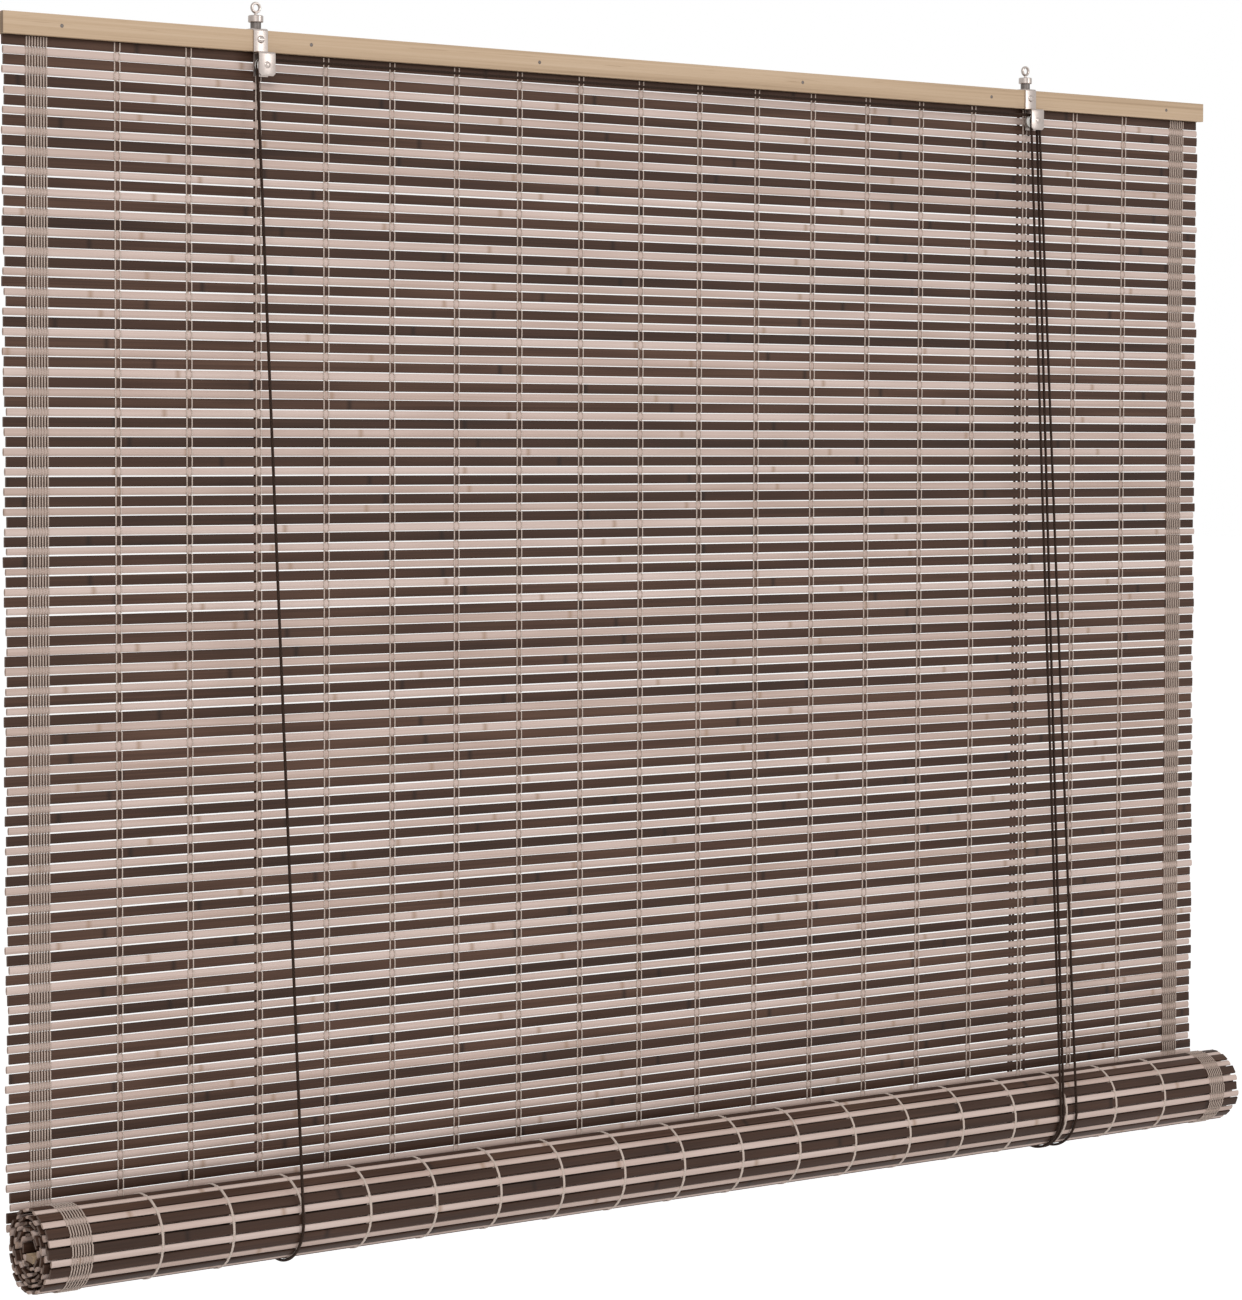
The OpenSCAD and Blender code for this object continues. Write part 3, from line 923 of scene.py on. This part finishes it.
def makeLath(name, node):
    low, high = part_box(node)
    section = [(low[1], low[2]), (high[1], low[2]), (high[1], high[2]), (low[1], high[2])]
    places = [low[0] + (high[0] - low[0]) * i / rail["steps"] for i in range(rail["steps"] + 1)]
    lath = loft(name, [[(x, y, z) for y, z in section] for x in places])
    bevelled(lath, rail["bevel"], 3)
    smooth(lath, 30)
    dress(lath, "railWood", "frame", node)


makeLath("frontLath", "front_lath")
makeLath("rearLath", "rear_lath")
frame["nodes"]["bottom_lath"].data.materials.clear()
frame["nodes"]["bottom_lath"].data.materials.append(looks["railWood"])
print("rail made")


# Hangers and pulleys
hanger = {
    "sheet": 1.2 * mm,
    "bend": 1.2 * mm,
    "strapHalf": 6.2 * mm,
    "cheekHalf": 7.2 * mm,
    "cheekCorner": 2.0 * mm,
    "cheekHigh": 18.5 * mm,
    "cheekDrop": 0.5 * mm,
    "cheekY": -15.1 * mm,
    "edge": 0.22 * mm,
    "screwZ": -24.0 * mm,
    "screwRadius": 2.9 * mm,
    "screwHigh": 1.5 * mm,
    "screwRound": 28,
    "screwSeed": 5,
    "slotWide": 0.8 * mm,
    "slotFloor": 0.5,
    "axleRadius": 1.5 * mm,
    "axleHead": 2.6 * mm,
    "axleHeadHigh": 0.9 * mm,
    "round": 40,
}
railSide = -blind["railFront"]


def lathe(name, profile, centre, axis, segments=hanger["round"]):
    centre, axis = Vector(centre), Vector(axis)
    side = axis.orthogonal().normalized()
    other = axis.cross(side)
    verts, faces, rings = [], [], []
    for radius, height in profile:
        count = 1 if radius < 1e-9 else segments
        rings.append(range(len(verts), len(verts) + count))
        for k in range(count):
            turn = fullTurn * k / count
            verts.append(centre + axis * height + (side * math.cos(turn) + other * math.sin(turn)) * radius)
    for low, high in zip(rings, rings[1:]):
        for k in range(segments):
            corners = ((low, k), (low, k + 1), (high, k + 1), (high, k))
            face = [ring[step % len(ring)] for ring, step in corners]
            faces.append(tuple(dict.fromkeys(face)))
    piece = meshObject(name, verts, (), faces)
    fixNormals(piece)
    smooth(piece, 32)
    return piece


def ribbon(name, x, path, thickness):
    # sheet metal: a strip of the given half widths along a path in Y and Z
    rings = []
    for i, (y, z, half) in enumerate(path):
        before, after = path[max(i - 1, 0)], path[min(i + 1, len(path) - 1)]
        run = Vector((after[0] - before[0], after[1] - before[1])).normalized() * (thickness / 2)
        rings.append([(x + hand * half, y - up * run[1], z + up * run[0])
                      for up, hand in ((1, -1), (1, 1), (-1, 1), (-1, -1))])
    piece = loft(name, rings)
    bevelled(piece, hanger["edge"], 2, 50)
    smooth(piece, 32)
    return piece


def bend(y, z, start, end, half, steps=6):
    reach = hanger["bend"]
    turns = [math.radians(start + (end - start) * i / steps) for i in range(steps + 1)]
    return [(y + reach * math.cos(turn), z + reach * math.sin(turn), half) for turn in turns]


def dome(radius, high, steps=5):
    turns = [math.pi / 2 * i / steps for i in range(steps)]
    return [(radius * math.cos(turn), high * math.sin(turn)) for turn in turns] + [(0.0, high)]


def makeBracket(side, x):
    sheet, curve = hanger["sheet"], hanger["bend"]
    legY, webZ = railSide + sheet / 2, blind["railTop"] + sheet / 2
    low = blind["railBottom"] - hanger["cheekHigh"]
    half = hanger["strapHalf"]
    path = [(-legY, low, half), (-legY, blind["railBottom"], half)]
    path += bend(-legY + curve, webZ - curve, 180, 90, half) + bend(legY - curve, webZ - curve, 90, 0, half)
    path += [(legY, blind["railBottom"], half)]
    dress(ribbon(side + "Strap", x, path, sheet), "platedSteel", "frame", side + "_strap")

    half, corner = hanger["cheekHalf"], hanger["cheekCorner"]
    plateY = hanger["cheekY"] - sheet / 2
    ledgeZ = blind["railBottom"] - hanger["cheekDrop"] - sheet / 2
    path = [(-railSide - sheet, ledgeZ, half)] + bend(plateY + curve, ledgeZ - curve, 90, 180, half)
    path += [(plateY, low + corner, half), (plateY, low, half - corner)]
    dress(ribbon(side + "Cheek", x, path, sheet), "platedSteel", "frame", side + "_cheek")


sheaveLook = {
    "radius": 5.6 * mm, "half": 3.6 * mm, "bore": 1.55 * mm, "edge": 0.25 * mm,
    "grooveMiddle": 1.7 * mm, "grooveHalf": 1.4 * mm, "grooveSteps": 8,
}


def makePulley(side, x):
    radius, head = hanger["axleRadius"], dome(hanger["axleHead"], hanger["axleHeadHigh"])
    front, rear = hanger["cheekY"] - hanger["sheet"], -railSide
    rivet = [(across, front - out) for across, out in reversed(head)]
    rivet += [(radius, front), (radius, rear)] + [(across, rear + out) for across, out in head]
    axle = lathe(side + "Axle", rivet, (x, 0, blind["axleZ"]), (0, 1, 0))
    dress(axle, "platedSteel", "frame", side + "_axle")

    outer, bore, half, edge = (sheaveLook[key] for key in ("radius", "bore", "half", "edge"))
    deep, wide, steps = outer - cords["grooveRadius"], sheaveLook["grooveHalf"], sheaveLook["grooveSteps"]
    turns = [math.pi * i / steps for i in range(steps + 1)]
    profile = [(bore, -half), (outer - edge, -half), (outer, -half + edge)]
    for middle in (-sheaveLook["grooveMiddle"], sheaveLook["grooveMiddle"]):
        profile += [(outer - deep * math.sin(turn), middle - wide * math.cos(turn)) for turn in turns]
    profile += [(outer, half - edge), (outer - edge, half), (bore, half), (bore, -half)]
    wheel = lathe(side + "Sheave", profile, (x, blind["axleY"], blind["axleZ"]), (0, 1, 0))
    dress(wheel, "whiteNylon", side + "_pulley", side + "_sheave")


eyeLook = {
    "holeRadius": 2.4 * mm, "ringRadius": 4.4 * mm, "ringHalf": 1.5 * mm, "ringSteps": 14,
    "collarRadius": 5.7 * mm, "collarHigh": 5.2 * mm, "edge": 0.5 * mm,
    "neckRadius": 1.2 * mm, "neckFlare": 1.6, "footRadius": 4.0 * mm, "footHigh": 4.8 * mm,
}


def makeEye(side, x):
    hole, outer, edge = eyeLook["holeRadius"], eyeLook["ringRadius"], eyeLook["edge"]
    collar, neck = eyeLook["collarRadius"], eyeLook["neckRadius"]
    base = blind["railTop"] + hanger["sheet"]
    step = base + eyeLook["footHigh"]
    top = step + eyeLook["collarHigh"]
    stand = [(0.0, step), (collar - edge, step), (collar, step + edge), (collar, top - edge),
             (collar - edge, top), (neck * eyeLook["neckFlare"], top), (neck, top + edge),
             (neck, -hole - edge), (0.0, -hole - edge)]
    middle, thick, steps = (hole + outer) / 2, (outer - hole) / 2, eyeLook["ringSteps"]
    turns = [fullTurn * i / steps for i in range(steps + 1)]
    ring = [(middle + thick * math.cos(turn), eyeLook["ringHalf"] * math.sin(turn)) for turn in turns]
    halves = [lathe("stand", stand, (x, 0, 0), (0, 0, 1)), lathe("ring", ring, (x, 0, 0), (0, 1, 0))]
    eye = join(side + "Eye", halves)
    smooth(eye, 32)
    dress(eye, "platedSteel", "frame", side + "_eye")
    # the eye's own post between the strap and the collar, coloured dark steel as painted shade for the
    # shadowed gap under the collar
    foot = [(0.0, base), (eyeLook["footRadius"], base), (eyeLook["footRadius"], step), (0.0, step)]
    dress(lathe(side + "EyeFoot", foot, (x, 0, 0), (0, 0, 1)), "darkSteel", "frame")


def slottedHead():
    profile = [(0.0, 0.0)] + dome(hanger["screwRadius"], hanger["screwHigh"])
    blank = lathe("screwBlank", profile, (0, 0, 0), (0, -1, 0), hanger["screwRound"])
    far, slot, high = hanger["screwRadius"] * 1.2, hanger["slotWide"] / 2, hanger["screwHigh"]
    floor = high * hanger["slotFloor"]
    corners = [(x, y, z) for x in (-far, far) for y in (-high * 2, -floor) for z in (-slot, slot)]
    faces = [(0, 1, 3, 2), (4, 5, 7, 6), (0, 1, 5, 4), (2, 3, 7, 6), (0, 2, 6, 4), (1, 3, 7, 5)]
    cutter = meshObject("slotCutter", corners, (), faces)
    fixNormals(cutter)
    cut = blank.modifiers.new("slot", "BOOLEAN")
    cut.operation = "DIFFERENCE"
    cut.solver = "EXACT"
    cut.object = cutter
    bakeModifiers(blank)
    bpy.data.objects.remove(cutter)
    smooth(blank, 32)
    return blank


tackLook = {
    "radius": 1.4 * mm, "high": 0.5 * mm, "domeSteps": 4, "round": 20, "seed": 6,
    "z": -25.0 * mm, "x": [134.0 * mm, 345.0 * mm, 556.0 * mm],
}


def makeFixings():
    seat = railSide + hanger["sheet"]
    places = [((hand * blind["hangerX"], face * seat, hanger["screwZ"]), turn)
              for hand in sides.values() for face, turn in ((-1, 0.0), (1, math.pi))]
    piece = layRow("strapScrews", "platedSteel", places, slottedHead(), hanger["screwSeed"])
    dress(piece, "platedSteel", "frame", "strap_screws")
    profile = [(0.0, 0.0)] + dome(tackLook["radius"], tackLook["high"], tackLook["domeSteps"])
    blank = lathe("tackBlank", profile, (0, 0, 0), (0, -1, 0), tackLook["round"])
    places = [((hand * x, -railSide, tackLook["z"]), 0.0) for hand in sides.values() for x in tackLook["x"]]
    piece = layRow("railTacks", "darkSteel", places, blank, tackLook["seed"])
    dress(piece, "darkSteel", "frame", "rail_tacks")


for side, hand in sides.items():
    place = hand * blind["hangerX"]
    makeBracket(side, place)
    makePulley(side, place)
    makeEye(side, place)
makeFixings()
print("hangers made")


# Studio
studio = {
    "floorZ": -1.75, "floorHalf": 40, "floor": (0.88, 0.88, 0.88, 1), "floorGlow": 0.46, "world": 0.62,
    "key": {"place": (-2.6, -3.4, 2.2), "size": 2.4, "power": 104},
    "fill": {"place": (1.73, -3.4, 0.37), "size": 1.3, "power": 24},
}
white = (1, 1, 1, 1)


def seenRays(graph):
    # rays that show the backdrop itself, straight or in metal
    ray = graph.add("ShaderNodeLightPath", out="Is Camera Ray")
    glossy, through = graph.other(ray, "Is Glossy Ray"), graph.other(ray, "Is Transmission Ray")
    return ray.of("MAXIMUM", glossy).of("MAXIMUM", through)


def makeFloor():
    far = studio["floorHalf"]
    corners = [(x, y, studio["floorZ"]) for x, y in ((-far, -far), (far, -far), (far, far), (-far, far))]
    floor = meshObject("studioFloor", corners, (), [(0, 1, 2, 3)])
    material, graph = newMaterial("studioFloor")
    plain = surface(graph, colour=studio["floor"], rough=0.9)
    bright = surface(graph, colour=studio["floor"], rough=0.9, glow=white, glowStrength=studio["floorGlow"])
    finish(graph, graph.add("ShaderNodeMixShader", None, {0: seenRays(graph), 1: plain, 2: bright}))
    floor.data.materials.append(material)


def makeStudio():
    makeFloor()
    world = bpy.data.worlds.new("studioWorld")
    bpy.context.scene.world = world
    world.use_nodes = True
    world.node_tree.nodes.clear()
    graph = Graph(world.node_tree)
    soft = graph.add("ShaderNodeBackground", None, {"Color": white, "Strength": studio["world"]})
    backdrop = graph.add("ShaderNodeBackground", None, {"Color": white, "Strength": 1.0})
    both = graph.add("ShaderNodeMixShader", None, {0: seenRays(graph), 1: soft, 2: backdrop})
    graph.add("ShaderNodeOutputWorld", None, {0: both})
    for name in ("key", "fill"):
        lamp = studio[name]
        data = bpy.data.lights.new(name + "Lamp", "AREA")
        data.size = lamp["size"]
        data.energy = lamp["power"]
        light = bpy.data.objects.new(name + "Lamp", data)
        light.location = lamp["place"]
        aim = view["target"] - Vector(lamp["place"])
        light.rotation_euler = aim.to_track_quat("-Z", "Y").to_euler()
        bpy.context.scene.collection.objects.link(light)
    bpy.context.scene.view_settings.view_transform = "Standard"


makeStudio()
print("studio made")
